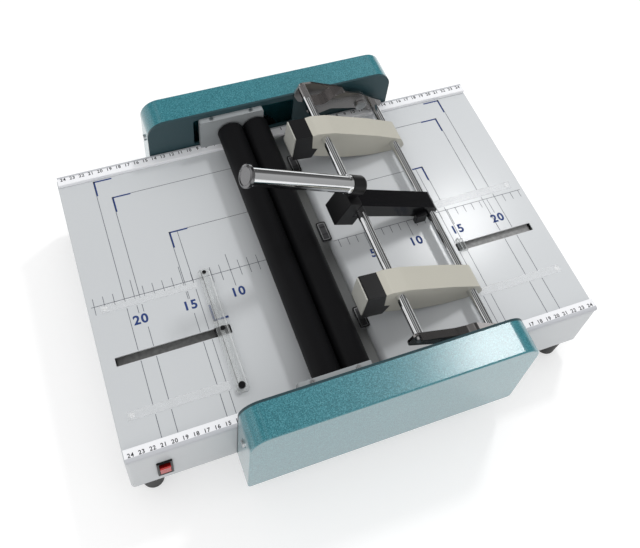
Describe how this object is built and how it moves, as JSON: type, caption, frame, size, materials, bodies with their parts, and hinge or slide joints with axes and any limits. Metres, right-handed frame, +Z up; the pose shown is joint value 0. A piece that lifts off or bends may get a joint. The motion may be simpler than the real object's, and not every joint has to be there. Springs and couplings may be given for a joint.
{
  "type": "paper creasing machine",
  "caption": "Desktop electric booklet maker that staples sheets along their middle line and creases them between two rubber rollers, with rulers along both edges of its table.",
  "frame": {"origin": "on the ground under the middle of the machine", "axes": "+X along the table to the right of someone at the front, +Y to the rear cover, +Z up"},
  "size_m": [0.494, 0.3972, 0.2537],
  "materials": {
    "table_enamel": "smooth pale grey enamel",
    "strip_enamel": "smooth white enamel",
    "hammer_paint": "teal hammertone paint",
    "dark_paint": "dark teal paint",
    "grey_steel": "grey painted steel",
    "galvanised": "zinc-plated sheet steel",
    "bright_steel": "bright ground steel",
    "polished_steel": "polished pressed steel",
    "chrome": "polished chrome plate",
    "aluminium": "plain extruded aluminium",
    "bronze": "plain sintered bronze",
    "roller_rubber": "fine-ground black rubber",
    "foot_rubber": "moulded black rubber",
    "black_plastic": "satin black moulding",
    "black_paint": "satin black paint",
    "beige_enamel": "warm beige enamel",
    "pale_plastic": "pale grey-beige moulding",
    "clear_plastic": "clear acrylic",
    "red_plastic": "glossy red moulding"
  },
  "bodies": {
    "base": {"base_shell": "table_enamel", "bottom_plate": "galvanised", "rubber_feet": "foot_rubber", "ruler_strip_front": "strip_enamel", "ruler_strip_rear": "strip_enamel", "glide_ribs": "clear_plastic", "side_plate_front": "dark_paint", "side_plate_rear": "dark_paint", "cover_front": "hammer_paint", "cover_rear": "hammer_paint", "housing_screws": "bright_steel", "bearing_bracket_front": "grey_steel", "bearing_bracket_rear": "grey_steel", "bracket_screws": "bright_steel", "roller_bushes": "bronze", "gear_motor": "galvanised", "knife_posts": "bright_steel", "lift_brackets": "galvanised", "anvil_rail": "bright_steel", "anvil_beam": "galvanised", "anvil_inserts": "bright_steel", "pivot_pins": "bright_steel", "return_springs": "bright_steel", "switch_frame": "black_plastic", "power_inlet": "black_plastic"},
    "right_roller": {"right_roller": "roller_rubber", "right_roller_shaft": "bright_steel", "right_roller_gear": "black_plastic"},
    "left_roller": {"left_roller": "roller_rubber", "left_roller_shaft": "bright_steel", "left_roller_gear": "black_plastic"},
    "drive": {"drive_gear": "black_plastic", "drive_shaft": "bright_steel"},
    "knife": {"fold_knife": "bright_steel", "knife_carrier": "aluminium"},
    "lift": {"lift_shaft": "bright_steel", "lift_arms": "galvanised"},
    "swing_frame": {"rod_a": "chrome", "rod_b": "chrome", "swing_arm_front": "polished_steel", "swing_arm_rear": "polished_steel", "press_arm": "black_paint", "handle_block": "black_plastic", "handle_tube": "chrome", "handle_knob": "chrome", "handle_socket": "black_plastic"},
    "rear_stapler": {"rear_stapler_nose": "black_plastic", "rear_stapler_plate": "pale_plastic", "rear_stapler_body": "beige_enamel", "rear_stapler_magazine": "galvanised"},
    "front_stapler": {"front_stapler_nose": "black_plastic", "front_stapler_plate": "pale_plastic", "front_stapler_body": "beige_enamel", "front_stapler_magazine": "galvanised"},
    "left_stop": {"left_stop_slider": "black_plastic", "left_stop_bar": "clear_plastic", "left_stop_screws": "black_plastic"},
    "right_stop": {"right_stop_slider": "black_plastic", "right_stop_fence": "clear_plastic"},
    "switch": {"switch_rocker": "red_plastic"}
  },
  "joints": [
    {"name": "swing", "type": "hinge", "parent": "base", "child": "swing_frame", "pos_m": [0.10473, 0, 0.12114], "axis": [0, -1, 0], "range_deg": [0, 14], "stiffness_Nm_per_rad": 3, "springref_deg": -40.11},
    {"name": "rear_stapler_slide", "type": "slide", "parent": "swing_frame", "child": "rear_stapler", "axis": [0, 1, 0], "range_m": [-0.06, 0.022]},
    {"name": "front_stapler_slide", "type": "slide", "parent": "swing_frame", "child": "front_stapler", "axis": [0, 1, 0], "range_m": [-0.034, 0.06]},
    {"name": "right_roller_spin", "type": "hinge", "parent": "base", "child": "right_roller", "pos_m": [-0.0235, 0, 0.124], "axis": [0, 1, 0], "continuous": true},
    {"name": "left_roller_spin", "type": "hinge", "parent": "base", "child": "left_roller", "pos_m": [-0.0525, 0, 0.124], "axis": [0, 1, 0], "continuous": true},
    {"name": "drive_spin", "type": "hinge", "parent": "base", "child": "drive", "pos_m": [-0.0175, 0, 0.08092], "axis": [0, 1, 0], "continuous": true},
    {"name": "knife_lift", "type": "slide", "parent": "base", "child": "knife", "axis": [0, 0, 1], "range_m": [0, 0.019]},
    {"name": "lift_turn", "type": "hinge", "parent": "base", "child": "lift", "pos_m": [-0.08, 0, 0.06365], "axis": [0, -1, 0], "range_deg": [0, 26]},
    {"name": "left_stop_slide", "type": "slide", "parent": "base", "child": "left_stop", "axis": [1, 0, 0], "range_m": [-0.097, 0]},
    {"name": "right_stop_slide", "type": "slide", "parent": "base", "child": "right_stop", "axis": [1, 0, 0], "range_m": [0, 0.074]},
    {"name": "switch_rock", "type": "hinge", "parent": "base", "child": "switch", "pos_m": [-0.213, -0.1638, 0.06], "axis": [1, 0, 0], "range_deg": [-18, 0]}
  ],
  "couplings": [
    {"joint": "left_roller_spin", "follows": "right_roller_spin", "ratio": -1},
    {"joint": "drive_spin", "follows": "right_roller_spin", "ratio": -0.5},
    {"joint": "lift_turn", "follows": "knife_lift", "rad_per_m": 23.883}
  ]
}
